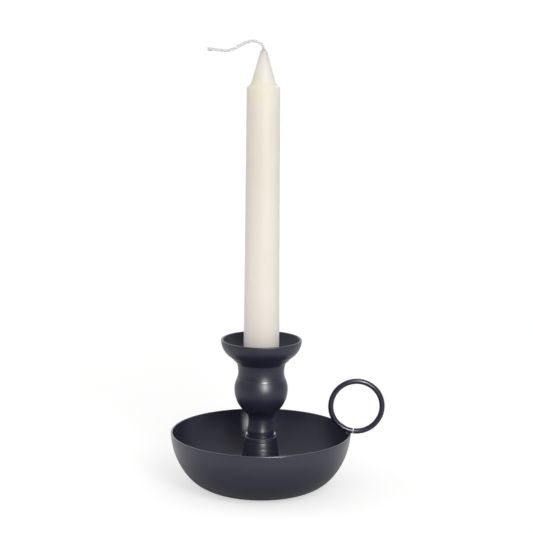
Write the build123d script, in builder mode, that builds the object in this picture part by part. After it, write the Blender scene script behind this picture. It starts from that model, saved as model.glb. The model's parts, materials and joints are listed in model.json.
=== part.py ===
from build123d import *

import os
from math import asin, cos, pi, radians, sin, tan

# Chamberstick with a finger loop, in millimetres. +Z is up, and the origin is the middle of
# the pan's underside, where it stands on a table. The finger loop is on the +X side.
# One countersunk bolt clamps the stack: socket, cup, baluster, foot and pan.

# Fits shared by all pieces
overrun = 1.0
seat_clearance = 0.05
match_tolerance = 0.001
bolt_clearance = 0.25
candle_clearance = 0.35

# Drip pan, spun from sheet
pan_rim_radius = 56.7
pan_height = 35.5
pan_wall = 1.2
pan_corner_radius = 26.0
pan_corner_sweep = 50.0
pan_lip_tilt = 6.0
pan_lip_length = 3.0
pan_bend_inside = 0.8
recess_margin = 2.0
recess_slope_run = 3.5
edge_round_share = 0.42

# Bolt, washer and nut
bolt_diameter = 5.0
bolt_head_diameter = 10.0
bolt_end = 0.9
bolt_chamfer = 0.5
hex_key = 3.0
hex_key_depth = 1.9
washer_diameter = 12.0
washer_thickness = 1.0
nut_across_flats = 8.0
nut_height = 4.0
nut_chamfer = 0.4
table_clearance = 0.8

# Stem foot, a hollow waisted cone
foot_base_radius = 17.0
foot_top_radius = 9.85
foot_top_height = 33.0
foot_wall = 1.6
foot_waist = 1.0
foot_edge_round = 0.3

# Baluster: register, lip, band, column and bulb
register_radius = 5.0
register_height = 1.2
lip_radius = 9.45
lip_height = 1.3
lip_round = 0.6
lip_step = 1.0
band_height = 2.7
flare_height = 6.0
column_radius = 7.75
column_height = 4.0
cove_radius = 6.0
bulb_lower_height = 16.3
bulb_swell = 1.85
crease_rise = 7.2
seam_round = 0.1
mouth_wall = 1.55
cavity_end_gap = 0.5
cavity_cone_height = 6.0

# Candle cup: spigot, waisted neck and flared cup
spigot_wall = 0.85
spigot_height = 2.5
neck_wall = 1.95
neck_height = 9.5
neck_waist_share = 0.45
cup_foot_wall = 2.9
cup_cone_reach = 3.85
cup_cone_rise = 4.0
cup_cone_blend = 4.0
cup_flare = 9.93
cup_depth = 15.0
cup_swell = 1.6
cup_wall = 1.3
cup_floor = 1.6

# Candle socket, a turned sleeve that hangs in the cup by its flange
socket_wall = 0.8
socket_depth = 22.4
socket_floor_land = 0.7
flange_width = 1.6
flange_thickness = 0.8
flange_clearance = 0.3

# Candle and its wick
candle_base_radius = 11.25
candle_shoulder_radius = 10.2
candle_length = 214.0
candle_cone_height = 21.85
cone_base_radius = 7.3
cone_base_height = 3.2
candle_tip_radius = 1.9
candle_edge_round = 0.5
wick_diameter = 1.7

# Finger ring, an open ring of round wire that sits on the rim
wire_diameter = 3.4
ring_radius = 16.1
ring_overhang = 3.25
ring_seat = 0.5
ring_gap_wide = 0.95
ring_gap_narrow = 0.05
ring_gap_outside = 1.4
braze_radius = 1.3
braze_run = 3.2
braze_inset = 0.4
braze_drop = 0.5

# Route of the wick's free end, from the candle's tip: across, towards the back, and up
wick_route = [
    (0.0, 0.0, 0.0),
    (0.0, 0.0, 2.4),
    (-1.8, 0.1, 4.2),
    (-5.5, 0.4, 5.9),
    (-9.8, 0.8, 5.2),
    (-13.9, 0.9, 3.1),
    (-18.3, 0.5, 0.5),
    (-23.2, -0.1, -0.4),
    (-28.0, -0.4, 0.3),
    (-32.3, -0.5, 0.5),
]
wick_turn_share = 0.45

# Radii that follow from the candle outwards
socket_bore = candle_base_radius + candle_clearance
sleeve_radius = socket_bore + socket_wall
cup_bore = sleeve_radius + seat_clearance
spigot_radius = cup_bore + spigot_wall
mouth_radius = spigot_radius + seat_clearance
crease_radius = mouth_radius + mouth_wall
bulb_radius = crease_radius + bulb_swell
neck_waist_radius = cup_bore + neck_wall
cup_foot_radius = cup_bore + cup_foot_wall
cup_cone_radius = cup_foot_radius + cup_cone_reach
cup_rim_radius = cup_foot_radius + cup_flare
flange_radius = sleeve_radius + flange_width
throat_radius = flange_radius + flange_clearance
bolt_radius = bolt_diameter / 2
bolt_hole = bolt_radius + bolt_clearance
bolt_head_radius = bolt_head_diameter / 2
washer_radius = washer_diameter / 2
recess_radius = washer_radius + recess_margin
wire_radius = wire_diameter / 2
wick_radius = wick_diameter / 2

# Heights that follow from the table upwards
nut_bottom = table_clearance + bolt_end
washer_bottom = nut_bottom + nut_height
recess_height = washer_bottom + washer_thickness
lip_top = foot_top_height + lip_height
band_top = lip_top + band_height
flare_top = band_top + flare_height
column_top = flare_top + column_height
bulb_height = column_top + bulb_lower_height
crease_height = bulb_height + crease_rise
cup_foot_height = crease_height + neck_height
cup_cone_height = cup_foot_height + cup_cone_rise
cup_rim_height = cup_foot_height + cup_depth
cup_floor_height = cup_foot_height + cup_floor
flange_top = cup_floor_height + flange_thickness
candle_seat = flange_top - socket_depth
bolt_head_height = bolt_head_radius - bolt_radius
socket_bottom = candle_seat - bolt_head_height - socket_floor_land
cavity_bottom = socket_bottom - cavity_end_gap
candle_tip = candle_seat + candle_length
shoulder_height = candle_tip - candle_cone_height
cone_base = shoulder_height + cone_base_height


def circles_at(piece, radius, height):
    """The round edges of a piece with this radius at this height."""
    rounds = piece.edges().filter_by(GeomType.CIRCLE)
    near = rounds.filter_by(lambda edge: abs(edge.arc_center.Z - height) < match_tolerance)
    return near.filter_by(lambda edge: abs(edge.radius - radius) < match_tolerance)


# Drip pan: the underside is drawn, thickened into sheet and spun about the stem's axis
corner_angle = radians(pan_corner_sweep)
lip_sweep = 90 - pan_lip_tilt
lip_angle = radians(lip_sweep)
corner_height = pan_corner_radius * (1 - cos(corner_angle))
lip_rise = pan_lip_length * sin(lip_angle)
side_rise = pan_height - corner_height - lip_rise
side_radius = side_rise / (cos(corner_angle) - cos(lip_angle))
corner_reach = pan_corner_radius * sin(corner_angle)
side_reach = side_radius * (sin(lip_angle) - sin(corner_angle))
lip_reach = pan_lip_length * cos(lip_angle)
pan_base_radius = pan_rim_radius - corner_reach - side_reach - lip_reach

with BuildPart() as drip_pan:
    with BuildSketch(Plane.XZ):
        with BuildLine():
            FilletPolyline(
                (bolt_hole, recess_height),
                (recess_radius, recess_height),
                (recess_radius + recess_slope_run, 0),
                (pan_base_radius, 0),
                radius=pan_wall + pan_bend_inside,
            )
            corner = JernArc((pan_base_radius, 0), (1, 0), pan_corner_radius, pan_corner_sweep)
            side = JernArc(corner @ 1, corner % 1, side_radius, lip_sweep - pan_corner_sweep)
            Line(side @ 1, (pan_rim_radius, pan_height))
            offset(amount=pan_wall, side=Side.LEFT)
        make_face()
    revolve(axis=Axis.Z)
    rim_edges = drip_pan.edges().filter_by(GeomType.CIRCLE).sort_by(Axis.Z)[-2:]
    fillet(rim_edges, radius=pan_wall * edge_round_share)

# Stem foot: a hollow waisted cone that stands on the pan round the recess
foot_hole = register_radius + seat_clearance
web_bottom = foot_top_height - foot_wall
foot_inner_top = foot_top_radius - foot_wall
foot_inner_base = foot_base_radius - foot_wall

with BuildPart() as stem_foot:
    with BuildSketch(Plane.XZ):
        with BuildLine():
            Polyline(
                (foot_inner_top, web_bottom),
                (foot_hole, web_bottom),
                (foot_hole, foot_top_height),
                (foot_top_radius, foot_top_height),
            )
            outside = (foot_top_radius, foot_top_height), (foot_base_radius, pan_wall)
            SagittaArc(*outside, foot_waist)
            Line((foot_base_radius, pan_wall), (foot_inner_base, pan_wall))
            SagittaArc((foot_inner_top, web_bottom), (foot_inner_base, pan_wall), foot_waist)
        make_face()
    revolve(axis=Axis.Z)
    fillet(circles_at(stem_foot, foot_top_radius, foot_top_height), radius=foot_edge_round)

# Baluster: turned lip, band, column and bulb, bored for the bolt and hollowed for the socket
register_bottom = foot_top_height - register_height
band_radius = lip_radius - lip_step

with BuildPart() as baluster:
    with BuildSketch(Plane.XZ):
        with BuildLine():
            Polyline(
                (0, crease_height),
                (0, register_bottom),
                (register_radius, register_bottom),
                (register_radius, foot_top_height),
                (lip_radius, foot_top_height),
                (lip_radius, lip_top),
                (band_radius, lip_top),
                (band_radius, band_top),
            )
            TangentArc((column_radius, flare_top), (band_radius, band_top), tangent=(0, -1))
            Line((column_radius, flare_top), (column_radius, column_top))
            TangentArc((bulb_radius, bulb_height), (column_radius, column_top), tangent=(0, -1))
            TangentArc((bulb_radius, bulb_height), (crease_radius, crease_height), tangent=(0, 1))
            Line((crease_radius, crease_height), (0, crease_height))
        make_face()
    revolve(axis=Axis.Z)
    fillet(circles_at(baluster, lip_radius, foot_top_height), radius=lip_round)
    fillet(circles_at(baluster, lip_radius, lip_top), radius=lip_round)
    fillet(circles_at(baluster, column_radius, column_top), radius=cove_radius)
    fillet(circles_at(baluster, crease_radius, crease_height), radius=seam_round)
    with BuildSketch(Plane.XZ):
        with BuildLine():
            Polyline(
                (0, register_bottom - overrun),
                (bolt_hole, register_bottom - overrun),
                (bolt_hole, cavity_bottom - cavity_cone_height),
                (mouth_radius, cavity_bottom),
                (mouth_radius, crease_height + overrun),
                (0, crease_height + overrun),
                close=True,
            )
        make_face()
    revolve(axis=Axis.Z, mode=Mode.SUBTRACT)

# Candle cup: a spigot in the baluster's mouth, a waisted neck and a flared cup
spigot_bottom = crease_height - spigot_height
waist_height = crease_height + neck_waist_share * neck_height
cup_lip_inside = cup_rim_radius - cup_wall

with BuildPart() as candle_cup:
    with BuildSketch(Plane.XZ):
        with BuildLine():
            Polyline(
                (throat_radius, cup_floor_height),
                (cup_bore, cup_floor_height),
                (cup_bore, spigot_bottom),
                (spigot_radius, spigot_bottom),
                (spigot_radius, crease_height),
                (crease_radius, crease_height),
            )
            ThreePointArc(
                (crease_radius, crease_height),
                (neck_waist_radius, waist_height),
                (cup_foot_radius, cup_foot_height),
            )
            Line((cup_foot_radius, cup_foot_height), (cup_cone_radius, cup_cone_height))
            bowl_ends = (cup_rim_radius, cup_rim_height), (cup_cone_radius, cup_cone_height)
            TangentArc(*bowl_ends, tangent=(0, -1))
            Line((cup_rim_radius, cup_rim_height), (cup_lip_inside, cup_rim_height))
            SagittaArc((throat_radius, cup_floor_height), (cup_lip_inside, cup_rim_height), -cup_swell)
        make_face()
    revolve(axis=Axis.Z)
    cup_edges = candle_cup.edges().filter_by(GeomType.CIRCLE).group_by(Axis.Z)[-1]
    fillet(cup_edges, radius=cup_wall * edge_round_share)
    fillet(circles_at(candle_cup, cup_cone_radius, cup_cone_height), radius=cup_cone_blend)
    fillet(circles_at(candle_cup, crease_radius, crease_height), radius=seam_round)

# Candle socket: a sleeve with a flange on the cup's floor and a countersunk floor of its own
with BuildPart() as candle_socket:
    with BuildSketch(Plane.XZ):
        with BuildLine():
            Polyline(
                (0, socket_bottom),
                (sleeve_radius, socket_bottom),
                (sleeve_radius, cup_floor_height),
                (flange_radius, cup_floor_height),
                (flange_radius, flange_top),
                (socket_bore, flange_top),
                (socket_bore, candle_seat),
                (0, candle_seat),
                close=True,
            )
        make_face()
    revolve(axis=Axis.Z)
    with Locations((0, 0, candle_seat)):
        CounterSinkHole(radius=bolt_hole, counter_sink_radius=bolt_head_radius, counter_sink_angle=90)

# Tie bolt: countersunk head flush with the socket's floor, end just clear of the table
with BuildPart() as tie_bolt:
    with BuildSketch(Plane.XZ):
        with BuildLine():
            Polyline(
                (0, table_clearance),
                (bolt_radius - bolt_chamfer, table_clearance),
                (bolt_radius, table_clearance + bolt_chamfer),
                (bolt_radius, candle_seat - bolt_head_height),
                (bolt_head_radius, candle_seat),
                (0, candle_seat),
                close=True,
            )
        make_face()
    revolve(axis=Axis.Z)
    with BuildSketch(Plane.XY.offset(candle_seat)):
        RegularPolygon(radius=hex_key / 2, side_count=6, major_radius=False)
    extrude(amount=-hex_key_depth, mode=Mode.SUBTRACT)

# Washer and nut in the pan's recess
with BuildPart() as base_washer:
    with BuildSketch(Plane.XY.offset(washer_bottom)):
        Circle(washer_radius)
        Circle(bolt_hole, mode=Mode.SUBTRACT)
    extrude(amount=washer_thickness)

with BuildPart() as base_nut:
    with BuildSketch(Plane.XY.offset(nut_bottom)):
        RegularPolygon(radius=nut_across_flats / 2, side_count=6, major_radius=False)
        Circle(bolt_radius + seat_clearance, mode=Mode.SUBTRACT)
    extrude(amount=nut_height)
    nut_mouths = base_nut.edges().filter_by(GeomType.CIRCLE)
    chamfer(nut_mouths, length=nut_chamfer)

# Finger ring: a notch in the wire sits on the rim, and its ends all but meet just outside
ring_x = pan_rim_radius + ring_overhang
seat_lean = asin((ring_overhang + pan_wall / 2) / ring_radius)
seat_rise = ring_radius * cos(seat_lean) + wire_radius / cos(seat_lean)
ring_height = pan_height - ring_seat + seat_rise
ring_middle = Vector(ring_x, 0, ring_height)
gap_lean = asin((ring_overhang - ring_gap_outside) / ring_radius)
gap_outwards = Vector(-sin(gap_lean), 0, -cos(gap_lean))
gap_along = Vector(-cos(gap_lean), 0, sin(gap_lean))
gap_middle = ring_middle + gap_outwards * ring_radius
gap_reach = wire_radius + overrun
lip_lean = radians(pan_lip_tilt)
rim_inwards = (-cos(lip_lean), 0, sin(lip_lean))
rim_upwards = (sin(lip_lean), 0, cos(lip_lean))
rim_seat = Plane(origin=(pan_rim_radius, 0, pan_height), x_dir=rim_inwards, z_dir=rim_upwards)
notch_width = pan_wall + 2 * seat_clearance
notch_corner = (Align.MIN, Align.CENTER, Align.MAX)

with BuildPart() as finger_ring:
    with Locations(Location(ring_middle, (90, 0, 0))):
        Torus(major_radius=ring_radius, minor_radius=wire_radius)
    with BuildSketch(Plane(origin=gap_middle, x_dir=gap_along, z_dir=(0, -1, 0))):
        with BuildLine():
            Polyline(
                (-ring_gap_wide / 2, -gap_reach),
                (ring_gap_wide / 2, -gap_reach),
                (ring_gap_narrow / 2, gap_reach),
                (-ring_gap_narrow / 2, gap_reach),
                close=True,
            )
        make_face()
    extrude(amount=gap_reach, both=True, mode=Mode.SUBTRACT)
    with Locations(rim_seat.location):
        with Locations((-seat_clearance, 0, 0)):
            Box(notch_width, 2 * gap_reach, gap_reach, align=notch_corner, mode=Mode.SUBTRACT)

# Braze: a rounded bead along the inside of the rim, on both sides of the wire and under it
braze_x = pan_rim_radius - pan_wall - braze_inset
braze_height = pan_height - ring_seat - braze_drop
inner_rim_radius = pan_rim_radius - pan_wall * cos(lip_lean)
inner_rim_height = pan_height + pan_wall * sin(lip_lean)
lip_inside = (inner_rim_radius - lip_reach, inner_rim_radius + lip_reach, 2 * lip_rise)

with BuildPart() as ring_braze:
    with Locations((braze_x, 0, braze_height)):
        Cylinder(radius=braze_radius, height=braze_run, rotation=(90, 0, 0))
        with Locations((0, -braze_run / 2, 0), (0, braze_run / 2, 0)):
            Sphere(braze_radius)
    with Locations((0, 0, inner_rim_height)):
        Cone(*lip_inside, mode=Mode.INTERSECT)
    add(finger_ring.part, mode=Mode.SUBTRACT)

# Candle: a slow taper, a hollowed shoulder and a cone, bored for the wick
with BuildPart() as candle:
    with BuildSketch(Plane.XZ):
        with BuildLine():
            Polyline(
                (candle_tip_radius, candle_tip),
                (wick_radius, candle_tip),
                (wick_radius, candle_seat),
                (candle_base_radius, candle_seat),
                (candle_shoulder_radius, shoulder_height),
            )
            cone = Line((candle_tip_radius, candle_tip), (cone_base_radius, cone_base))
            TangentArc(cone @ 1, (candle_shoulder_radius, shoulder_height), tangent=cone % 1)
        make_face()
    revolve(axis=Axis.Z)
    fillet(circles_at(candle, candle_base_radius, candle_seat), radius=candle_edge_round)
    fillet(circles_at(candle, candle_shoulder_radius, shoulder_height), radius=candle_edge_round)
    fillet(circles_at(candle, candle_tip_radius, candle_tip), radius=candle_edge_round)

# Wick: a core through the wax, and the free end that bends over at the tip
with BuildPart() as wick_core:
    with BuildSketch(Plane.XY.offset(candle_seat)):
        Circle(wick_radius)
    extrude(amount=candle_length)

tip = Vector(0, 0, candle_tip)
route = [tip + Vector(*point) for point in wick_route]
runs = [end - start for start, end in zip(route, route[1:])]
turn_radii = []
for before, after in zip(runs, runs[1:]):
    shorter = min(before.length, after.length)
    half_turn = radians(before.get_angle(after) / 2)
    turn_radii.append(wick_turn_share * shorter / tan(half_turn))

with BuildPart() as wick_tail:
    with BuildLine():
        tail_path = FilletPolyline(*route, radius=turn_radii)
    with BuildSketch(Plane(origin=route[0], z_dir=runs[0])):
        Circle(wick_radius)
    sweep(path=tail_path)

tail_volume = pi * wick_radius**2 * tail_path.length
print("wick turn radii", [round(radius, 2) for radius in turn_radii])
print("wick tail length", round(tail_path.length, 2))
print("wick tail volume", round(wick_tail.part.volume, 2), "expected", round(tail_volume, 2))

# One labelled file for each piece
pieces = {
    "drip_pan": drip_pan,
    "stem_foot": stem_foot,
    "baluster": baluster,
    "candle_cup": candle_cup,
    "candle_socket": candle_socket,
    "tie_bolt": tie_bolt,
    "base_washer": base_washer,
    "base_nut": base_nut,
    "finger_ring": finger_ring,
    "ring_braze": ring_braze,
    "candle": candle,
    "wick_core": wick_core,
    "wick_tail": wick_tail,
}
os.makedirs("parts", exist_ok=True)
for node, piece in pieces.items():
    piece.part.label = node
    export_step(piece.part, f"parts/{node}.step")
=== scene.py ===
"""Looks of a black chamberstick with a finger loop and a tall ivory candle.

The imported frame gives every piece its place, in metres, with +Z up and the finger loop on +X.
This script dresses those pieces, and remakes the ones whose fine shape the frame leaves plain:
the grooved foot, the clamp bolt and its nut, and the plaited wick with its frayed end. It adds
the narrow band in the stem's seam, the lip's flat, the bolt's thread and a drop of wax.
"""

import json
import logging
import math
from collections.abc import Sequence
from dataclasses import dataclass
from enum import Enum
from typing import Any, Union

import bmesh
import bpy
from bpy.types import ID, Material, Mesh, Node, NodeSocket, NodeTree, Object, World
from mathutils import Matrix, Vector

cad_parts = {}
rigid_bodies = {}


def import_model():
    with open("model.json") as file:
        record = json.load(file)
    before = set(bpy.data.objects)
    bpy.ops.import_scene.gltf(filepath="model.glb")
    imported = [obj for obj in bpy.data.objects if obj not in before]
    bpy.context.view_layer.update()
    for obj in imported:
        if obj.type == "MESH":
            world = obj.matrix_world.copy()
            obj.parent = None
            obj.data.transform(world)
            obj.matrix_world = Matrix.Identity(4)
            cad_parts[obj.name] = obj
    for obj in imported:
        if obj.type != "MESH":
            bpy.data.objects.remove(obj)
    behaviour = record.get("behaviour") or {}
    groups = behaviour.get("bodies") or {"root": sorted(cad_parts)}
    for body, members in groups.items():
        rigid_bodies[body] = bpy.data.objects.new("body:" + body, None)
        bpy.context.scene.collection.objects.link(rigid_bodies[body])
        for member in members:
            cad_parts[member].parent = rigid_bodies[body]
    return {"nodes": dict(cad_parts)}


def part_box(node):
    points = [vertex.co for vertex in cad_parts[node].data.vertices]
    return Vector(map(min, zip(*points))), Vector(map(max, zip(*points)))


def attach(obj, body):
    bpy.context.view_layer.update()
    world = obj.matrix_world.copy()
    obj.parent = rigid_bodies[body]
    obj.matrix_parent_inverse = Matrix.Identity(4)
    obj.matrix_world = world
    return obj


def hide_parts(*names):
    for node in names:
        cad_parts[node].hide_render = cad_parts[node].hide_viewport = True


LOG = logging.getLogger("chamberstick")
HOLDER = "holder"
CANDLE = "candle"
HEXAGON = "hexagon"
SHARP_EDGE = math.radians(32)
ROUND_STEPS = 96
WELD_DISTANCE = 1e-6
MIDDLE = 0.5
MIX_SHARE, MIX_FIRST, MIX_SECOND, MIX_RESULT = 0, 6, 7, 2

Colour = tuple[float, float, float]
Point = tuple[float, float, float]
Number = Union["Value", float]
Feed = Union["Value", NodeSocket, float, str, Sequence[float]]


class Value:
    """A number on a node socket. Arithmetic on it adds Math nodes."""

    def __init__(self, graph: "Graph", socket: NodeSocket) -> None:
        """Keeps the socket and the graph that it belongs to."""
        self.graph = graph
        self.socket = socket

    def __add__(self, other: Number) -> "Value":
        """This value plus another."""
        return self.graph.maths("ADD", self, other)

    __radd__ = __add__

    def __mul__(self, other: Number) -> "Value":
        """This value times another."""
        return self.graph.maths("MULTIPLY", self, other)

    __rmul__ = __mul__

    def __sub__(self, other: Number) -> "Value":
        """This value less another."""
        return self.graph.maths("SUBTRACT", self, other)

    def __rsub__(self, other: Number) -> "Value":
        """Another value less this one."""
        return self.graph.maths("SUBTRACT", other, self)

    def __truediv__(self, other: Number) -> "Value":
        """This value divided by another."""
        return self.graph.maths("DIVIDE", self, other)

    def __rtruediv__(self, other: Number) -> "Value":
        """Another value divided by this one."""
        return self.graph.maths("DIVIDE", other, self)

    def __mod__(self, other: Number) -> "Value":
        """What is left of this value after whole steps of another."""
        return self.graph.maths("FLOORED_MODULO", self, other)


class Graph:
    """A node tree in the making, with one method that adds any node."""

    def __init__(self, tree: NodeTree) -> None:
        """Takes the tree that the nodes go into."""
        self.tree = tree

    def node(
        self,
        kind: str,
        settings: dict[str, Any] | None = None,
        sockets: dict[str | int, Feed] | None = None,
    ) -> Node:
        """Adds one node.

        Args:
            kind: The node's type, such as "ShaderNodeMath".
            settings: Its own properties, which are set first.
            sockets: Values or links for its inputs, by name or by place.

        Returns:
            The new node.
        """
        made = self.tree.nodes.new(kind)
        for name, value in (settings or {}).items():
            setattr(made, name, value)
        for key, value in (sockets or {}).items():
            self.feed(made.inputs[key], value)
        return made

    def feed(self, socket: NodeSocket, value: Feed) -> None:
        """Links a value or an output to a socket, or sets the socket's own value.

        Args:
            socket: The input to feed.
            value: A Value, an output socket, or a plain number, vector, colour or name.
        """
        if isinstance(value, Value):
            self.tree.links.new(value.socket, socket)
        elif isinstance(value, NodeSocket):
            self.tree.links.new(value, socket)
        else:
            socket.default_value = value

    def value(
        self,
        kind: str,
        settings: dict[str, Any] | None = None,
        sockets: dict[str | int, Feed] | None = None,
        output: str | int = 0,
    ) -> Value:
        """Adds one node and wraps one of its outputs.

        Args:
            kind: The node's type.
            settings: Its own properties.
            sockets: Values or links for its inputs.
            output: The output to wrap, by name or by place.

        Returns:
            The output as a Value.
        """
        return Value(self, self.node(kind, settings, sockets).outputs[output])

    def maths(self, operation: str, *terms: Number) -> Value:
        """Adds a Math node.

        Args:
            operation: The Math node's operation.
            terms: Its inputs, in order.

        Returns:
            The result.
        """
        return self.value("ShaderNodeMath", {"operation": operation}, dict(enumerate(terms)))

    def vectors(self, operation: str, **sockets: Feed) -> NodeSocket:
        """Adds a Vector Math node and gives its vector output.

        Args:
            operation: The Vector Math node's operation.
            sockets: "first" and "second" vectors, and "scale" where it is used.

        Returns:
            The output socket.
        """
        places = {"first": 0, "second": 1, "scale": "Scale"}
        inputs = {places[name]: value for name, value in sockets.items()}
        return self.node("ShaderNodeVectorMath", {"operation": operation}, inputs).outputs[0]

    def split(self, vector: NodeSocket) -> list[Value]:
        """The three numbers of a vector."""
        parts = self.node("ShaderNodeSeparateXYZ", None, {0: vector}).outputs
        return [Value(self, part) for part in parts]

    def join(self, **parts: Number) -> NodeSocket:
        """The vector of an X, a Y and a Z, each 0 where it is left out."""
        return self.node("ShaderNodeCombineXYZ", None, parts).outputs[0]

    def mix(self, share: Number, first: Feed, second: Feed) -> NodeSocket:
        """Mixes two colours.

        Args:
            share: How much of the second colour shows.
            first: The colour at a share of 0.
            second: The colour at a share of 1.

        Returns:
            The mixed colour's socket.
        """
        colours = {MIX_SHARE: share, MIX_FIRST: opaque(first), MIX_SECOND: opaque(second)}
        return self.node("ShaderNodeMix", {"data_type": "RGBA"}, colours).outputs[MIX_RESULT]

    def blend(self, value: Number, start: float, end: float) -> Value:
        """A smooth step from 0 at start to 1 at end.

        Args:
            value: What the step follows.
            start: Where the step begins.
            end: Where it is whole.

        Returns:
            The step, between 0 and 1.
        """
        sockets = {"Value": value, "From Min": start, "From Max": end}
        return self.value("ShaderNodeMapRange", {"interpolation_type": "SMOOTHSTEP"}, sockets)


def opaque(colour: Feed) -> Feed:
    """A plain colour with its alpha, or a link as it is."""
    return (*colour, 1.0) if isinstance(colour, tuple) else colour


def bare_tree(owner: Material | World) -> NodeTree:
    """The node tree of a material or a world, with no node in it."""
    owner.use_nodes = True
    owner.node_tree.nodes.clear()
    return owner.node_tree


def put_in_scene(name: str, data: ID) -> Object:
    """A new object in the scene, made of its data."""
    thing = bpy.data.objects.new(name, data)
    bpy.context.scene.collection.objects.link(thing)
    return thing


class Surface(Graph):
    """The graph of one material: its place on the piece, and its shader."""

    def __init__(self, name: str) -> None:
        """Makes an empty material with object coordinates and one shader."""
        self.material = bpy.data.materials.new(name)
        super().__init__(bare_tree(self.material))
        self.place = self.node("ShaderNodeTexCoord").outputs["Object"]
        self.shader = self.node("ShaderNodeBsdfPrincipled")
        output = self.node("ShaderNodeOutputMaterial")
        self.tree.links.new(self.shader.outputs[0], output.inputs["Surface"])

    def dress(self, **sockets: Feed) -> None:
        """Feeds the shader's sockets, named with underscores for spaces."""
        for name, value in sockets.items():
            self.feed(self.shader.inputs[name.replace("_", " ")], value)

    def noise(self, size: float, detail: float = 2.0, stretch: Point = (1.0, 1.0, 1.0)) -> Value:
        """Even noise over the piece.

        Args:
            size: The size of its patches, in metres.
            detail: How many finer layers it has.
            stretch: How much finer it is along each axis.

        Returns:
            The noise, about 0.5 on the whole.
        """
        where = self.vectors("MULTIPLY", first=self.place, second=stretch)
        sockets = {"Vector": where, "Scale": 1 / size, "Detail": detail}
        return self.value("ShaderNodeTexNoise", None, sockets, "Fac")

    def bump(self, height: Value, depth: float) -> None:
        """Feeds the shader's normal with a bump.

        Args:
            height: The height of the relief, from about 0 to 1.
            depth: How deep the relief is, in metres.
        """
        sockets = {"Height": height, "Distance": depth, "Strength": 1.0}
        self.dress(Normal=self.node("ShaderNodeBump", None, sockets).outputs[0])


class ToolMarks(Enum):
    """How a metal piece was made, which sets the faint marks in its finish."""

    SPUN = "spun"
    TURNED = "turned"
    GROOVED = "grooved"
    DRAWN = "drawn"
    EASED = "eased"
    POLISHED = "polished"


@dataclass(frozen=True)
class BlackEnamel:
    """Satin blue-black enamel over spun, turned or drawn metal."""

    colour: Colour = (0.0135, 0.0145, 0.0340)
    dusty_colour: Colour = (0.0180, 0.0190, 0.0400)
    roughness: float = 0.34
    roughness_spread: float = 0.05
    refraction: float = 1.50
    cloud_size: float = 0.030
    grain_size: float = 0.0006
    grain_depth: float = 0.000006
    mark_pitch: float = 0.0009
    mark_share: float = 0.25

    def material(self, marks: ToolMarks) -> Material:
        """Makes the enamel for pieces made in one way.

        Args:
            marks: How the pieces were made.

        Returns:
            The material.
        """
        surface = Surface(f"black_enamel_{marks.value}")
        cloud = surface.noise(self.cloud_size, detail=4.0)
        relief = surface.noise(self.grain_size)
        if marks in (ToolMarks.SPUN, ToolMarks.TURNED, ToolMarks.GROOVED):
            across, back, along = surface.split(surface.place)
            if marks is ToolMarks.SPUN:
                along = along + surface.maths("SQRT", across * across + back * back)
            rings = surface.maths("SINE", along * (math.tau / self.mark_pitch))
            relief = relief + self.mark_share * rings
        surface.dress(
            Base_Color=surface.mix(cloud, self.colour, self.dusty_colour),
            Roughness=self.roughness + self.roughness_spread * (cloud - MIDDLE),
            IOR=self.refraction,
        )
        surface.bump(relief, self.grain_depth)
        return surface.material


@dataclass(frozen=True)
class ZincPlate:
    """Bright zinc on the bolt, the nut and the washer."""

    colour: Colour = (0.56, 0.57, 0.57)
    dull_colour: Colour = (0.38, 0.38, 0.37)
    roughness: float = 0.30
    roughness_spread: float = 0.18
    cloud_size: float = 0.0022
    brush_size: float = 0.0004
    brush_depth: float = 0.00001

    def material(self) -> Material:
        """Makes the zinc plate."""
        surface = Surface("zinc_plate")
        cloud = surface.noise(self.cloud_size, detail=5.0)
        brush = surface.noise(self.brush_size, stretch=(1.0, 1.0, 4.0))
        surface.dress(
            Base_Color=surface.mix(cloud, self.colour, self.dull_colour),
            Roughness=self.roughness + self.roughness_spread * cloud,
            Metallic=1.0,
        )
        surface.bump(brush, self.brush_depth)
        return surface.material


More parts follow.
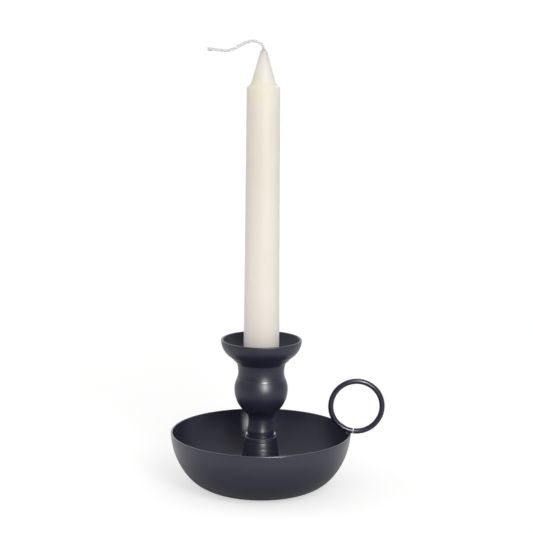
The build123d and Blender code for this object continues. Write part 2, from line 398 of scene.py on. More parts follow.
@dataclass(frozen=True)
class IvoryWax:
    """Smooth ivory wax, a little yellow on the left of the shoulder, with painted light that makes it
    paler towards the cup.
    """

    colour: Colour = (0.802, 0.745, 0.665)
    # The paler colour is painted light towards the cup's rim, and also the colour of the random
    # clouds.
    cloud_and_painted_light_colour: Colour = (0.905, 0.843, 0.782)
    yellow_colour: Colour = (0.820, 0.785, 0.540)
    painted_light_height: float = 0.095
    cloud_share: float = 0.35
    cloud_size: float = 0.022
    cloud_range: tuple[float, float] = (0.3, 0.7)
    patch_size: float = 0.009
    patch_range: tuple[float, float] = (0.25, 0.60)
    yellow_reach: float = 0.011
    yellow_side: float = 0.006
    yellow_share: float = 0.80
    roughness: float = 0.46
    roughness_spread: float = 0.16
    streak_size: float = 0.0012
    streak_depth: float = 0.00003
    shine: float = 0.2
    glow: float = 0.60
    glow_reach: float = 0.014
    glow_colour: Colour = (1.0, 0.93, 0.84)

    def material(self, shoulder: float) -> Material:
        """Makes the wax.

        Args:
            shoulder: The height of the candle's shoulder.

        Returns:
            The material.
        """
        surface = Surface("ivory_wax")
        across, _, up = surface.split(surface.place)
        cloud = surface.noise(self.cloud_size, detail=3.0, stretch=(1.0, 1.0, 0.3))
        patch = surface.blend(surface.noise(self.patch_size), *self.patch_range)
        rise = surface.blend(up, shoulder - self.yellow_reach, shoulder)
        fall = surface.blend(up, shoulder + self.yellow_reach, shoulder)
        left = surface.blend(across, self.yellow_side, -self.yellow_side)
        yellow = rise * fall * left * patch * self.yellow_share
        # Painted light: the wax turns paler from the shoulder down to the cup's rim, making up for
        # the shade that the cup casts on the candle's foot.
        low = surface.blend(up, shoulder, self.painted_light_height)
        cloud_and_painted_light = low + self.cloud_share * (surface.blend(cloud, *self.cloud_range) - low)
        body = surface.mix(cloud_and_painted_light, self.colour, self.cloud_and_painted_light_colour)
        streaks = surface.noise(self.streak_size, detail=3.0, stretch=(1.0, 1.0, 0.05))
        surface.dress(
            Base_Color=surface.mix(yellow, body, self.yellow_colour),
            Roughness=self.roughness + self.roughness_spread * (streaks - MIDDLE),
            Specular_IOR_Level=self.shine,
            Subsurface_Weight=self.glow,
            Subsurface_Radius=self.glow_colour,
            Subsurface_Scale=self.glow_reach,
        )
        surface.bump(streaks, self.streak_depth)
        return surface.material


@dataclass(frozen=True)
class WickCotton:
    """Waxed cotton yarn, with its fibres along the strands."""

    colour: Colour = (0.72, 0.705, 0.72)
    shade_colour: Colour = (0.66, 0.64, 0.655)
    fibre_size: float = 0.00016
    fibre_depth: float = 0.00004
    patch_size: float = 0.0018
    roughness: float = 0.68
    roughness_spread: float = 0.2
    sheen: float = 0.2

    def material(self) -> Material:
        """Makes the cotton."""
        surface = Surface("wick_cotton")
        patch = surface.noise(self.patch_size, detail=4.0)
        fibre = surface.noise(self.fibre_size, stretch=(0.3, 1.0, 1.0))
        surface.dress(
            Base_Color=surface.mix(patch * fibre, self.colour, self.shade_colour),
            Roughness=self.roughness + self.roughness_spread * (fibre - MIDDLE),
            Sheen_Weight=self.sheen,
        )
        surface.bump(fibre, self.fibre_depth)
        return surface.material


class Recipe(Graph):
    """A Geometry Nodes tree that makes one kind of piece from a seed mesh."""

    SOCKETS = {int: "NodeSocketInt", float: "NodeSocketFloat", Vector: "NodeSocketVector"}

    def __init__(self, name: str, **sizes: int | float | Vector) -> None:
        """Makes the tree with a named input for each size.

        Args:
            name: The tree's name.
            sizes: The tree's inputs and the values that they take.
        """
        super().__init__(bpy.data.node_groups.new(name, "GeometryNodeTree"))
        interface = self.tree.interface
        interface.new_socket("Geometry", in_out="OUTPUT", socket_type="NodeSocketGeometry")
        interface.new_socket("Geometry", in_out="INPUT", socket_type="NodeSocketGeometry")
        self.values: dict[str, int | float | Vector | Material] = {}
        for size, value in sizes.items():
            made = interface.new_socket(size, in_out="INPUT", socket_type=self.SOCKETS[type(value)])
            self.values[made.identifier] = value
        finish = interface.new_socket("Material", in_out="INPUT", socket_type="NodeSocketMaterial")
        self.finish_key = finish.identifier
        self.inputs = self.node("NodeGroupInput").outputs

    def size(self, name: str) -> Value:
        """The tree's input of that name."""
        return Value(self, self.inputs[name])

    def random(self, index: Value, seed: Number, low: float, high: float) -> Value:
        """A random number for each point.

        Args:
            index: The point's number.
            seed: The draw's seed.
            low: The least that it may be.
            high: The most that it may be.

        Returns:
            The number.
        """
        draw = self.node("FunctionNodeRandomValue", {"data_type": "FLOAT"})
        for socket in draw.inputs:
            if socket.enabled:
                self.feed(socket, {"Min": low, "Max": high, "ID": index, "Seed": seed}[socket.name])
        return Value(self, next(output for output in draw.outputs if output.enabled))

    def sweep(self, curve: NodeSocket, radius: str, sides: int) -> NodeSocket:
        """Sweeps a round section along a curve.

        Args:
            curve: The curve to follow.
            radius: The name of the input that holds the section's radius.
            sides: How many sides the section has.

        Returns:
            The closed mesh.
        """
        circle = {"Resolution": sides, "Radius": self.size(radius)}
        ring = self.node("GeometryNodeCurvePrimitiveCircle", None, circle)
        sockets = {"Curve": curve, "Profile Curve": ring.outputs[0], "Fill Caps": True}
        return self.node("GeometryNodeCurveToMesh", None, sockets).outputs[0]

    def end(self, geometry: NodeSocket) -> None:
        """Ends the tree with real geometry in its material.

        Args:
            geometry: What the tree has made.
        """
        real = self.node("GeometryNodeRealizeInstances", None, {0: geometry})
        sockets = {"Geometry": real.outputs[0], "Material": self.inputs["Material"]}
        dressed = self.node("GeometryNodeSetMaterial", None, sockets)
        self.node("NodeGroupOutput", None, {0: dressed.outputs[0]})

    def make(self, name: str, seed: Mesh, finish: Material) -> Object:
        """Runs the tree on a seed mesh.

        Args:
            name: The new piece's name.
            seed: The mesh that the tree starts from.
            finish: The piece's material.

        Returns:
            A plain mesh object.
        """
        source = put_in_scene(f"{name}_seed", seed)
        modifier = source.modifiers.new(self.tree.name, "NODES")
        modifier.node_group = self.tree
        for key, value in {**self.values, self.finish_key: finish}.items():
            modifier[key] = value
        return finished(name, plain_mesh(source))


def plain_mesh(source: Object) -> Mesh:
    """A new mesh of what an object shows, with its modifiers applied, in place of the object."""
    depsgraph = bpy.context.evaluated_depsgraph_get()
    mesh = bpy.data.meshes.new_from_object(source.evaluated_get(depsgraph))
    bpy.data.objects.remove(source)
    return mesh


def finished(name: str, mesh: Mesh) -> Object:
    """Puts a closed mesh into the scene, with its faces outwards and its rounds smooth.

    Args:
        name: The piece's name.
        mesh: Its mesh, in place.

    Returns:
        The object, at the origin.
    """
    shell = bmesh.new()
    shell.from_mesh(mesh)
    bmesh.ops.recalc_face_normals(shell, faces=shell.faces)
    shell.to_mesh(mesh)
    shell.free()
    mesh.shade_smooth()
    mesh.set_sharp_from_angle(angle=SHARP_EDGE)
    mesh.name = name
    LOG.info("made %s with %d faces", name, len(mesh.polygons))
    return put_in_scene(name, mesh)


def wire_mesh(name: str, points: Sequence[Sequence[float]]) -> Mesh:
    """A mesh of points joined by edges, in order."""
    mesh = bpy.data.meshes.new(name)
    edges = [(first, first + 1) for first in range(len(points) - 1)]
    mesh.from_pydata([tuple(point) for point in points], edges, [])
    return mesh


@dataclass(frozen=True)
class Turned:
    """One point of a turned piece's outline: its radius, its height and how hexagonal it is."""

    radius: float
    height: float
    hexagon: float = 0.0


def closed(*points: Sequence[float]) -> list[Turned]:
    """A closed outline through points, each a radius, a height and perhaps a hexagon's share."""
    return [Turned(*point) for point in (*points, points[0])]


def turned_piece(
    name: str, outline: Sequence[Turned], finish: Material, segments: int = ROUND_STEPS
) -> Object:
    """Turns a closed outline about the stem's axis.

    Args:
        name: The piece's name.
        outline: The outline's points, with the first one again at the end.
        finish: The piece's material.
        segments: How many steps go round, a multiple of 12 where there are hexagons.

    Returns:
        The piece.
    """
    recipe = Recipe("turned_outline", Segments=segments, Weld=WELD_DISTANCE)
    outline_mesh = recipe.inputs["Geometry"]
    count = recipe.value("GeometryNodeAttributeDomainSize", None, {0: outline_mesh}, "Point Count")
    columns = recipe.size("Segments") + 1.0
    unit_grid = {"Size X": 1.0, "Size Y": 1.0, "Vertices X": columns, "Vertices Y": count}
    grid = recipe.node("GeometryNodeMeshGrid", None, unit_grid)
    spot = recipe.node("GeometryNodeInputPosition").outputs[0]
    round_share, outline_share, _ = recipe.split(spot)
    row = (outline_share + MIDDLE) * (count - 1.0)
    place = recipe.value("FunctionNodeFloatToInt", {"rounding_mode": "ROUND"}, {0: row})
    taken = {"Geometry": outline_mesh, "Value": spot, "Index": place}
    point = recipe.node("GeometryNodeSampleIndex", {"data_type": "FLOAT_VECTOR"}, taken)
    radius, _, height = recipe.split(point.outputs[0])
    named = recipe.node("GeometryNodeInputNamedAttribute", None, {"Name": HEXAGON}).outputs[0]
    hexagon = recipe.value("GeometryNodeSampleIndex", None, {**taken, "Value": named})
    angle = (round_share + MIDDLE) * math.tau
    flats = 1 / recipe.maths("COSINE", angle % (math.pi / 3) - math.pi / 6)
    reach = radius * (1 + hexagon * (flats - 1))
    across, back = recipe.maths("COSINE", angle), recipe.maths("SINE", angle)
    moved = recipe.join(X=reach * across, Y=reach * back, Z=height)
    sockets = {"Geometry": grid.outputs[0], "Position": moved}
    turned = recipe.node("GeometryNodeSetPosition", None, sockets)
    sockets = {"Geometry": turned.outputs[0], "Distance": recipe.size("Weld")}
    welded = recipe.node("GeometryNodeMergeByDistance", None, sockets)
    recipe.end(welded.outputs[0])
    seed = wire_mesh(f"{name}_outline", [(point.radius, 0.0, point.height) for point in outline])
    flag = seed.attributes.new(HEXAGON, "FLOAT", "POINT")
    flag.data.foreach_set("value", [point.hexagon for point in outline])
    return recipe.make(name, seed, finish)


def bowed(
    start: Sequence[float], end: Sequence[float], bow: float, steps: int
) -> list[tuple[float, float]]:
    """Points on a shallow bow between two points of an outline.

    Args:
        start: The first radius and height.
        end: The last radius and height.
        bow: How far the middle stands to the right of the way from start to end.
        steps: How many steps the bow has.

    Returns:
        The points, both ends included.
    """
    first, last = Vector(start), Vector(end)
    run = last - first
    aside = Vector((run.y, -run.x)).normalized()
    shares = [step / steps for step in range(steps + 1)]
    return [tuple(first + run * share + aside * (4 * bow * share * (1 - share))) for share in shares]


@dataclass
class Frame:
    """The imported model: its nodes, and how pieces are put on its bodies."""

    nodes: dict[str, Object]

    def dress(self, finish: Material, *names: str) -> None:
        """Gives CAD nodes a finish.

        Args:
            finish: The material.
            names: The nodes that take it.
        """
        for name in names:
            materials = self.nodes[name].data.materials
            materials.clear()
            materials.append(finish)
            LOG.info("dressed %s in %s", name, finish.name)

    def seat(self, piece: Object, body: str, slot: str, *nodes: str) -> None:
        """Puts a new piece on its body, in place of nodes.

        Args:
            piece: The new piece.
            body: The body that it moves with.
            slot: The record's material slot; not used.
            nodes: The nodes that it stands for.
        """
        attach(piece, body)
        if nodes:
            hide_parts(*nodes)


@dataclass
class Pan:
    """The spun drip pan, with the finger ring brazed on its rim."""

    frame: Frame
    enamel: BlackEnamel = BlackEnamel(roughness=0.31, refraction=1.54)
    ring_enamel: BlackEnamel = BlackEnamel(roughness=0.28, refraction=1.41)

    def build(self) -> None:
        """Dresses the pan, the ring and the braze."""
        self.frame.dress(self.enamel.material(ToolMarks.SPUN), "drip_pan")
        self.frame.dress(self.ring_enamel.material(ToolMarks.DRAWN), "finger_ring", "ring_braze")


@dataclass
class Stem:
    """The turned stem: a grooved foot, the baluster, the cup and its socket."""

    frame: Frame
    enamel: BlackEnamel = BlackEnamel(roughness=0.40, refraction=1.45)
    foot_enamel: BlackEnamel = BlackEnamel(roughness=0.38, refraction=1.58)
    edge_enamel: BlackEnamel = BlackEnamel(roughness=0.24, refraction=1.45)
    seam_enamel: BlackEnamel = BlackEnamel(roughness=0.32, refraction=1.64)
    foot_top_radius: float = 0.00985
    foot_wall: float = 0.0016
    foot_waist: float = 0.0010
    foot_hole_radius: float = 0.00505
    foot_edge_round: float = 0.0003
    groove_heights: tuple[float, float] = (0.0301, 0.0266)
    groove_width: float = 0.0005
    groove_depth: float = 0.00005
    foot_steps: int = 150
    inside_steps: int = 37
    seam_radius: float = 0.01500
    seam_inside: float = 0.0144
    seam_half: float = 0.00024
    seam_lean: float = math.radians(15)
    lip_height: float = 0.0013
    shelf_radius: float = 0.0094
    shelf_inside: float = 0.0083
    shelf_thickness: float = 0.0004
    shelf_rise: float = 0.00005

    def build(self) -> None:
        """Dresses the stem, and adds the grooved foot, the seam's narrow band and the lip's flat."""
        turned = self.enamel.material(ToolMarks.TURNED)
        grooved = self.foot_enamel.material(ToolMarks.GROOVED)
        eased = self.seam_enamel.material(ToolMarks.EASED)
        polished = self.edge_enamel.material(ToolMarks.POLISHED)
        self.frame.dress(turned, "baluster", "candle_cup", "candle_socket")
        foot = turned_piece("foot_grooved", self.foot_outline(), grooved)
        self.frame.seat(foot, HOLDER, "black_metal", "stem_foot")
        band = turned_piece("seam_band", self.seam_outline(), eased)
        self.frame.seat(band, HOLDER, "black_metal")
        shelf = turned_piece("lip_shelf", self.shelf_outline(), polished)
        self.frame.seat(shelf, HOLDER, "black_metal")

    def foot_outline(self) -> list[Turned]:
        """The foot's closed outline, with its grooves."""
        low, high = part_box("stem_foot")
        top, base, base_radius = high.z, low.z, high.x
        web = top - self.foot_wall
        inner_top = self.foot_top_radius - self.foot_wall
        inner_base = base_radius - self.foot_wall
        shoulder = self.foot_top_radius, top
        outside = bowed(shoulder, (base_radius, base), self.foot_waist, self.foot_steps)
        cut = [(radius - self.groove_at(height), height) for radius, height in outside]
        eased = [(self.foot_top_radius - self.foot_edge_round, top)]
        eased += [point for point in cut if point[1] < top - self.foot_edge_round]
        inside = bowed((inner_top, web), (inner_base, base), self.foot_waist, self.inside_steps)
        hole = [(self.foot_hole_radius, web), (self.foot_hole_radius, top)]
        return closed(*eased, *reversed(inside), *hole)

    def seam_outline(self) -> list[Turned]:
        """The closed outline of the narrow band in the seam between the bulb and the neck."""
        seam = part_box("baluster")[1].z
        low, high = seam - self.seam_half, seam + self.seam_half
        slant = self.seam_half * math.tan(self.seam_lean)
        return closed(
            (self.seam_inside, low),
            (self.seam_radius + slant, low),
            (self.seam_radius - slant, high),
            (self.seam_inside, high),
        )

    def shelf_outline(self) -> list[Turned]:
        """The closed outline of the thin flat on top of the lip, under the column."""
        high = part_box("stem_foot")[1].z + self.lip_height + self.shelf_rise
        low = high - self.shelf_thickness
        return closed(
            (self.shelf_inside, low),
            (self.shelf_radius, low),
            (self.shelf_radius, high),
            (self.shelf_inside, high),
        )

    def groove_at(self, height: float) -> float:
        """How deep the turned grooves are at a height."""
        aside = [(height - middle) / self.groove_width for middle in self.groove_heights]
        return self.groove_depth * sum(math.exp(-(share**2)) for share in aside)


@dataclass
class Clamp:
    """The countersunk bolt through the stem, with its washer and nut under the pan."""

    frame: Frame
    zinc: ZincPlate = ZincPlate()
    bolt_radius: float = 0.0025
    head_radius: float = 0.0050
    key_radius: float = 0.0015
    key_depth: float = 0.0019
    pitch: float = 0.0008
    thread_depth: float = 0.0004
    thread_height: float = 0.016
    thread_steps: int = 24
    ridge_share: float = 0.9
    ridge_sides: int = 6
    end_chamfer: float = 0.0005
    edge_ease: float = 0.00025
    nut_radius: float = 0.0040
    nut_bevel: float = 0.00036
    nut_mouth: float = 0.0004
    bore_play: float = 0.00005
    segments: int = 72

    def build(self) -> None:
        """Makes the bolt, its thread and the nut, and dresses the washer."""
        zinc = self.zinc.material()
        self.frame.dress(zinc, "base_washer")
        bolt = turned_piece("bolt_turned", self.bolt_outline(), zinc, self.segments)
        self.frame.seat(bolt, HOLDER, "zinc_steel", "tie_bolt")
        self.frame.seat(self.thread(zinc), HOLDER, "zinc_steel")
        nut = turned_piece("nut_bevelled", self.nut_outline(), zinc, self.segments)
        self.frame.seat(nut, HOLDER, "zinc_steel", "base_nut")

    def bolt_outline(self) -> list[Turned]:
        """The bolt's outline, from its end up to the key's bottom."""
        low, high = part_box("tie_bolt")
        core = self.bolt_radius - self.thread_depth
        neck = high.z - (self.head_radius - self.bolt_radius)
        thread_top = low.z + self.thread_height
        key_floor = high.z - self.key_depth
        return [
            Turned(0.0, low.z),
            Turned(core - self.end_chamfer, low.z),
            Turned(core, low.z + self.end_chamfer),
            Turned(core, thread_top),
            Turned(self.bolt_radius, thread_top + self.thread_depth),
            Turned(self.bolt_radius, neck),
            Turned(self.head_radius - self.edge_ease, high.z - self.edge_ease),
            Turned(self.head_radius - self.edge_ease, high.z),
            Turned(self.key_radius + self.edge_ease, high.z, 1.0),
            Turned(self.key_radius, high.z - self.edge_ease, 1.0),
            Turned(self.key_radius, key_floor, 1.0),
            Turned(0.0, key_floor),
        ]

    def thread(self, finish: Material) -> Object:
        """Winds the bolt's rolled thread.

        Args:
            finish: Its material.

        Returns:
            The thread.
        """
        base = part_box("tie_bolt")[0].z + self.end_chamfer
        rise = self.thread_height - self.end_chamfer - self.pitch
        ridge = self.thread_depth * self.ridge_share
        recipe = Recipe(
            "rolled_thread",
            Turns=rise / self.pitch,
            Radius=self.bolt_radius - ridge,
            Height=rise,
            Ridge=ridge,
            Base=Vector((0.0, 0.0, base)),
        )
        spiral = {
            "Resolution": self.thread_steps,
            "Rotations": recipe.size("Turns"),
            "Start Radius": recipe.size("Radius"),
            "End Radius": recipe.size("Radius"),
            "Height": recipe.size("Height"),
        }
        helix = recipe.node("GeometryNodeCurveSpiral", None, spiral)
        swept = recipe.sweep(helix.outputs[0], "Ridge", self.ridge_sides)
        sockets = {"Geometry": swept, "Translation": recipe.inputs["Base"]}
        lifted = recipe.node("GeometryNodeTransform", None, sockets)
        recipe.end(lifted.outputs[0])
        return recipe.make("bolt_thread", bpy.data.meshes.new("thread_seed"), finish)

    def nut_outline(self) -> list[Turned]:
        """The nut's closed outline, with bevelled corners and mouths."""
        low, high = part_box("base_nut")
        bore = self.bolt_radius + self.bore_play
        mouth = bore + self.nut_mouth
        return closed(
            (bore, low.z + self.nut_mouth),
            (mouth, low.z),
            (self.nut_radius, low.z),
            (self.nut_radius, low.z + self.nut_bevel, 1.0),
            (self.nut_radius, high.z - self.nut_bevel, 1.0),
            (self.nut_radius, high.z),
            (mouth, high.z),
            (bore, high.z - self.nut_mouth),
        )


@dataclass
class Taper:
    """The tapered candle with its plaited wick, which lies over to the left."""

    frame: Frame
    wax: IvoryWax = IvoryWax()
    cotton: WickCotton = WickCotton()
    cone_height: float = 0.02185
    collar_radius: float = 0.00135
    collar_height: float = 0.0011
    collar_sink: float = 0.0003
    collar_swell: float = 0.00016
    collar_inside_share: float = 0.5
    collar_steps: int = 8
    collar_segments: int = 36
    wick_diameter: float = 0.0017
    wick_length: float = 0.0362
    strands: int = 3
    strand_radius: float = 0.00060
    strand_sides: int = 10
    plait_width: float = 0.00036
    plait_depth: float = 0.00018
    plait_pitch: float = 0.0070
    plait_step: float = 0.00022
    flare_reach: float = 0.0055
    flare_share: float = 0.75
    fibres: int = 42
    fibre_radius: float = 0.000075
    fibre_length: float = 0.0034
    fibre_spread: float = 0.0008
    fibre_sides: int = 5
    fibre_steps: int = 6
    fibre_sink_share: float = 0.45
    fibre_bend_share: float = 0.55
    reach_range: tuple[float, float] = (0.05, 1.0)
    swing_range: tuple[float, float] = (-0.5, 0.5)
    scale_range: tuple[float, float] = (0.7, 1.05)
    heading_points: int = 4
    fray_seed: int = 7
    route: tuple[Point, ...] = (
        (0.0, 0.0, 0.0),
        (0.0, 0.0, 0.0024),
        (-0.0018, 0.0001, 0.0042),
        (-0.0055, 0.0004, 0.0059),
        (-0.0098, 0.0008, 0.0052),
        (-0.0139, 0.0009, 0.0031),
        (-0.0183, 0.0005, 0.0005),
        (-0.0232, -0.0001, -0.0004),
        (-0.0280, -0.0004, 0.0003),
        (-0.0323, -0.0005, 0.0005),
    )

    def build(self) -> None:
        """Dresses the candle and makes its wick."""
        tip = Vector((0.0, 0.0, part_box("candle")[1].z))
        wax = self.wax.material(tip.z - self.cone_height)
        cotton = self.cotton.material()
        self.frame.dress(wax, "candle")
        self.frame.dress(cotton, "wick_core")
        outline = self.collar_outline(tip.z)
        collar = turned_piece("wick_collar", outline, wax, self.collar_segments)
        self.frame.seat(collar, CANDLE, "ivory_wax")
        path = self.smooth_route(tip)
        wick = self.plait(path, cotton)
        self.frame.seat(wick, CANDLE, "wick_cotton", "wick_tail")
        fray = self.fray(path, cotton)
        self.frame.seat(fray, CANDLE, "wick_cotton")

    def collar_outline(self, tip: float) -> list[Turned]:
        """The drop of wax that climbs the wick at the tip."""
        wick = self.wick_diameter / 2
        inside = wick * self.collar_inside_share
        foot, top = tip - self.collar_sink, tip + self.collar_height
        ends = (self.collar_radius, tip), (wick, top)
        side = bowed(*ends, self.collar_swell, self.collar_steps)
        return closed((inside, foot), (self.collar_radius, foot), *side, (inside, top))

    def smooth_route(self, tip: Vector) -> list[Vector]:
        """Points along the wick's smooth line.

        Args:
            tip: Where it leaves the wax.

        Returns:
            The points, from the wax to the free end.
        """
        curve = bpy.data.curves.new("wick_route", "CURVE")
        curve.dimensions = "3D"
        spline = curve.splines.new("NURBS")
        spline.points.add(len(self.route) - 1)
        for point, offset in zip(spline.points, self.route):
            point.co = (*(tip + Vector(offset)), 1.0)
        spline.order_u = 3
        spline.use_endpoint_u = True
        line = plain_mesh(put_in_scene("wick_route", curve))
        return [vertex.co.copy() for vertex in line.vertices]

    def plait(self, path: Sequence[Vector], finish: Material) -> Object:
        """Plaits the strands along the wick's line, looser towards its end.

        Args:
            path: The points of the line.
            finish: The cotton.

        Returns:
            The wick.
        """
        recipe = Recipe(
            "plaited_strands",
            Strands=self.strands,
            Strand=self.strand_radius,
            Width=self.plait_width,
            Depth=self.plait_depth,
            Pitch=self.plait_pitch,
            Step=self.plait_step,
            Flare=self.flare_share,
            Reach=self.flare_reach,
        )
        line = recipe.node("GeometryNodeMeshToCurve", None, {0: recipe.inputs["Geometry"]})
        sockets = {"Curve": line.outputs[0], "Length": recipe.size("Step")}
        even = recipe.node("GeometryNodeResampleCurve", {"mode": "LENGTH"}, sockets)
        sockets = {"Geometry": even.outputs[0], "Amount": recipe.size("Strands")}
        copies = recipe.node("GeometryNodeDuplicateElements", {"domain": "SPLINE"}, sockets)
        strand = Value(recipe, copies.outputs[1])
        along = recipe.value("GeometryNodeSplineParameter", output="Length")
        whole = recipe.value("GeometryNodeSplineLength")
        phase = (along / recipe.size("Pitch") + strand / recipe.size("Strands")) * math.tau
        open_share = recipe.maths("MAXIMUM", 0.0, 1 - (whole - along) / recipe.size("Reach"))
        width = recipe.size("Width") * (1 + recipe.size("Flare") * open_share * open_share)
        sideways = width * recipe.maths("SINE", phase)
        forwards = recipe.size("Depth") * recipe.maths("SINE", phase * 2.0)
        normal = recipe.node("GeometryNodeInputNormal").outputs[0]
        tangent = recipe.node("GeometryNodeInputTangent").outputs[0]
        other = recipe.vectors("CROSS_PRODUCT", first=tangent, second=normal)
        aside = recipe.vectors("SCALE", first=other, scale=sideways)
        ahead = recipe.vectors("SCALE", first=normal, scale=forwards)
        offset = recipe.vectors("ADD", first=aside, second=ahead)
        sockets = {"Geometry": copies.outputs[0], "Offset": offset}
        moved = recipe.node("GeometryNodeSetPosition", None, sockets)
        recipe.end(recipe.sweep(moved.outputs[0], "Strand", self.strand_sides))
        return recipe.make("wick_plait", wire_mesh("wick_line", path), finish)

    def fray(self, path: Sequence[Vector], finish: Material) -> Object:
        """Spreads loose fibres at the wick's cut end.

        Args:
            path: The points of the wick's line.
            finish: The cotton.

        Returns:
            The fibres.
        """
        end = path[-1]
        heading = (end - path[-self.heading_points]).normalized()
        turn = Vector(heading.to_track_quat("Z", "Y").to_euler())
        recipe = Recipe(
            "frayed_fibres",
            Fibres=self.fibres,
            Thickness=self.fibre_radius,
            Length=self.fibre_length,
            Spread=self.fibre_spread,
            Seed=self.fray_seed,
            End=end - heading * (self.fibre_length * self.fibre_sink_share),
            Turn=turn,
        )
        seed, spread, length = [recipe.size(name) for name in ("Seed", "Spread", "Length")]
        points = recipe.node("GeometryNodePoints", None, {"Count": recipe.size("Fibres")})
        index = recipe.value("GeometryNodeInputIndex")
        angle = recipe.random(index, seed, 0.0, math.tau)
        reach = spread * recipe.random(index, seed + 1, *self.reach_range)
        swing = recipe.random(index, seed + 2, *self.swing_range)
        scale = recipe.random(index, seed + 3, *self.scale_range)
        across, back = recipe.maths("COSINE", angle), recipe.maths("SINE", angle)
        spot = recipe.join(X=reach * across, Y=reach * back)
        sockets = {"Geometry": points.outputs[0], "Position": spot}
        roots = recipe.node("GeometryNodeSetPosition", None, sockets)
        arc = {
            "Resolution": self.fibre_steps,
            "Start": (0.0, 0.0, 0.0),
            "Middle": recipe.join(Z=length * self.fibre_bend_share),
            "End": recipe.join(X=spread, Z=length),
        }
        bend = recipe.node("GeometryNodeCurveQuadraticBezier", None, arc)
        copies = {
            "Points": roots.outputs[0],
            "Instance": recipe.sweep(bend.outputs[0], "Thickness", self.fibre_sides),
            "Rotation": recipe.join(Z=angle + swing),
            "Scale": scale,
        }
        strewn = recipe.node("GeometryNodeInstanceOnPoints", None, copies)
        sockets = {
            "Geometry": strewn.outputs[0],
            "Translation": recipe.inputs["End"],
            "Rotation": recipe.inputs["Turn"],
        }
        placed = recipe.node("GeometryNodeTransform", None, sockets)
        recipe.end(placed.outputs[0])
        return recipe.make("wick_fray", bpy.data.meshes.new("fray_seed"), finish)


class LampUse(Enum):
    """What a lamp does: it lights the object, or it shines in its gloss."""

    LIGHT = "light"
    SHINE = "shine"


@dataclass(frozen=True)
class Softbox:
    """A soft lamp: its bearing from the camera's side, its height angle, distance, size and power."""

    name: str
    bearing: float
    rise: float
    distance: float
    width: float
    height: float
    power: float
    use: LampUse
    colour: Colour = (1.0, 0.985, 0.96)


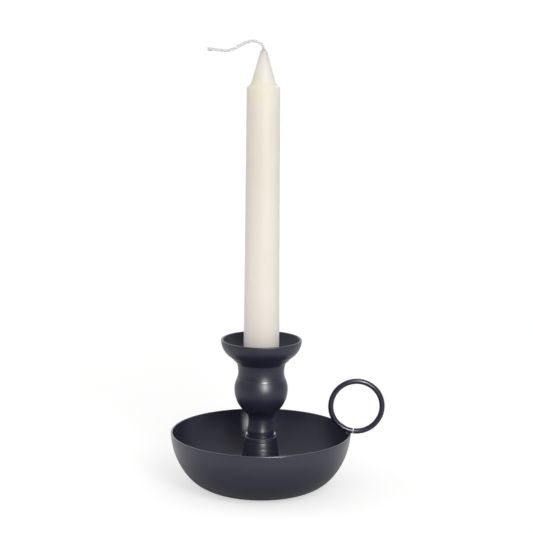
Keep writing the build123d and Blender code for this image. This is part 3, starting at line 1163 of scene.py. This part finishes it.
@dataclass
class Studio:
    """A white floor, soft lamps, a white surround and the camera."""

    camera_place: Point = (0.0027553, -1.07614, 0.3363)
    camera_pitch: float = 0.1795
    camera_roll: float = 0.0084
    camera_lens: float = 119.37
    camera_sensor: float = 36.0
    aim: Point = (0.0, 0.0, 0.09)
    floor_size: float = 12.0
    floor_colour: Colour = (0.60, 0.60, 0.60)
    near_lift: float = 0.56
    far_lift: float = 0.70
    near_reach: float = 0.20
    far_reach: float = 1.10
    mirror_range: tuple[float, float] = (0.045, 0.11)
    front_shade: float = 0.55
    shade_range: tuple[float, float] = (0.10, 0.20)
    fill_light: float = 0.55
    left_light: float = 0.60
    right_light: float = 0.42
    front_light: float = 0.08
    back_light: float = 2.0
    top_light: float = 0.75
    front_range: tuple[float, float] = (-0.30, 0.50)
    side_range: tuple[float, float] = (0.35, 0.95)
    top_range: tuple[float, float] = (0.30, 0.90)
    softboxes: tuple[Softbox, ...] = (
        Softbox("key_lamp", 20.0, 26.0, 1.3, 0.50, 0.86, 8.6, LampUse.LIGHT),
        Softbox("glint_lamp", 18.0, 22.0, 1.3, 0.24, 0.82, 34.0, LampUse.SHINE),
        Softbox("top_lamp", 0.0, 82.0, 1.2, 0.70, 0.70, 3.5, LampUse.SHINE),
        Softbox("left_lamp", -100.0, 12.0, 1.3, 1.0, 1.2, 4.2, LampUse.LIGHT),
    )

    def build(self) -> None:
        """Makes the floor, the surround, the lamps and the camera."""
        self.lay_floor()
        self.light_surround()
        for softbox in self.softboxes:
            self.hang(softbox)
        self.set_camera()
        bpy.context.scene.view_settings.view_transform = "Standard"

    def lay_floor(self) -> None:
        """Lays a white floor that the background's white runs into."""
        half = self.floor_size / 2
        mesh = bpy.data.meshes.new("floor")
        corners = [(-half, -half, 0.0), (half, -half, 0.0), (half, half, 0.0), (-half, half, 0.0)]
        mesh.from_pydata(corners, [], [(0, 1, 2, 3)])
        material = bpy.data.materials.new("white_floor")
        graph = Graph(bare_tree(material))
        paper = graph.node("ShaderNodeBsdfDiffuse", None, {"Color": opaque(self.floor_colour)})
        spot = graph.node("ShaderNodeNewGeometry").outputs["Position"]
        reach = graph.value("ShaderNodeVectorMath", {"operation": "LENGTH"}, {0: spot}, "Value")
        far = graph.blend(reach, self.near_reach, self.far_reach)
        seen = self.rays(graph, "Is Camera Ray", "Is Transmission Ray")
        _, back, _ = graph.split(spot)
        shade = 1.0 - self.front_shade * graph.blend(0.0 - back, *self.shade_range)
        mirrored = self.rays(graph, "Is Glossy Ray") * graph.blend(reach, *self.mirror_range) * shade
        glow = (seen + mirrored) * (self.near_lift + (self.far_lift - self.near_lift) * far)
        lift = graph.node("ShaderNodeEmission", None, {"Strength": glow})
        both = graph.node("ShaderNodeAddShader", None, {0: paper.outputs[0], 1: lift.outputs[0]})
        graph.node("ShaderNodeOutputMaterial", None, {"Surface": both.outputs[0]})
        mesh.materials.append(material)
        floor = put_in_scene("floor", mesh)

    @staticmethod
    def rays(graph: Graph, *kinds: str) -> Value:
        """1 for rays of these kinds, by their names on the Light Path node."""
        paths = graph.node("ShaderNodeLightPath").outputs
        total = sum(Value(graph, paths[kind]) for kind in kinds)
        return graph.maths("MINIMUM", 1.0, total)

    def light_surround(self) -> None:
        """Makes the world white to look at, an even fill, and dark at the front in the gloss."""
        world = bpy.data.worlds.new("white_surround")
        bpy.context.scene.world = world
        graph = Graph(bare_tree(world))
        heading = graph.node("ShaderNodeTexCoord").outputs["Generated"]
        across, back, up = graph.split(heading)
        front = graph.blend(0.0 - back, *self.front_range)
        right = graph.blend(across, *self.side_range)
        left = graph.blend(0.0 - across, *self.side_range)
        ends = self.back_light + (self.front_light - self.back_light) * front
        level = ends + left * (self.left_light - ends) + right * (self.right_light - ends)
        mirrored = level + graph.blend(up, *self.top_range) * (self.top_light - level)
        light = self.fill_light + self.rays(graph, "Is Glossy Ray") * (mirrored - self.fill_light)
        seen = self.rays(graph, "Is Camera Ray", "Is Transmission Ray")
        white = {"Color": opaque((1.0, 1.0, 1.0)), "Strength": light + seen * (1.0 - light)}
        glow = graph.node("ShaderNodeBackground", None, white)
        graph.node("ShaderNodeOutputWorld", None, {"Surface": glow.outputs[0]})

    def hang(self, softbox: Softbox) -> None:
        """Hangs one soft lamp so that it faces the stem.

        Args:
            softbox: The lamp's place, size and power.
        """
        bearing, rise = math.radians(softbox.bearing), math.radians(softbox.rise)
        level = math.cos(rise)
        towards = Vector((math.sin(bearing) * level, -math.cos(bearing) * level, math.sin(rise)))
        lamp = bpy.data.lights.new(softbox.name, "AREA")
        lamp.shape = "RECTANGLE"
        lamp.size, lamp.size_y = softbox.width, softbox.height
        lamp.energy = softbox.power
        lamp.color = softbox.colour
        hung = put_in_scene(softbox.name, lamp)
        hung.location = Vector(self.aim) + towards * softbox.distance
        hung.rotation_euler = (-towards).to_track_quat("-Z", "Y").to_euler()
        hung.visible_camera = False
        hung.visible_diffuse = softbox.use is LampUse.LIGHT
        hung.visible_glossy = softbox.use is LampUse.SHINE

    def set_camera(self) -> None:
        """Sets the camera at the photograph's angle."""
        lens = bpy.data.cameras.new("camera")
        lens.sensor_width = self.camera_sensor
        lens.lens = self.camera_lens
        camera = put_in_scene("camera", lens)
        tilt = Matrix.Rotation(math.pi / 2 - self.camera_pitch, 4, "X")
        roll = Matrix.Rotation(self.camera_roll, 4, "Z")
        camera.matrix_world = Matrix.Translation(self.camera_place) @ tilt @ roll
        bpy.context.scene.camera = camera


def clear_scene() -> None:
    """Removes Blender's own first objects."""
    for thing in list(bpy.data.objects):
        bpy.data.objects.remove(thing)


def main() -> None:
    """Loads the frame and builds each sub-assembly."""
    logging.basicConfig(level=logging.INFO, format="%(name)s: %(message)s")
    clear_scene()
    frame = Frame(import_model()["nodes"])
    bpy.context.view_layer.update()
    Studio().build()
    Taper(frame).build()
    Pan(frame).build()
    Stem(frame).build()
    Clamp(frame).build()


if __name__ == "__main__":
    main()
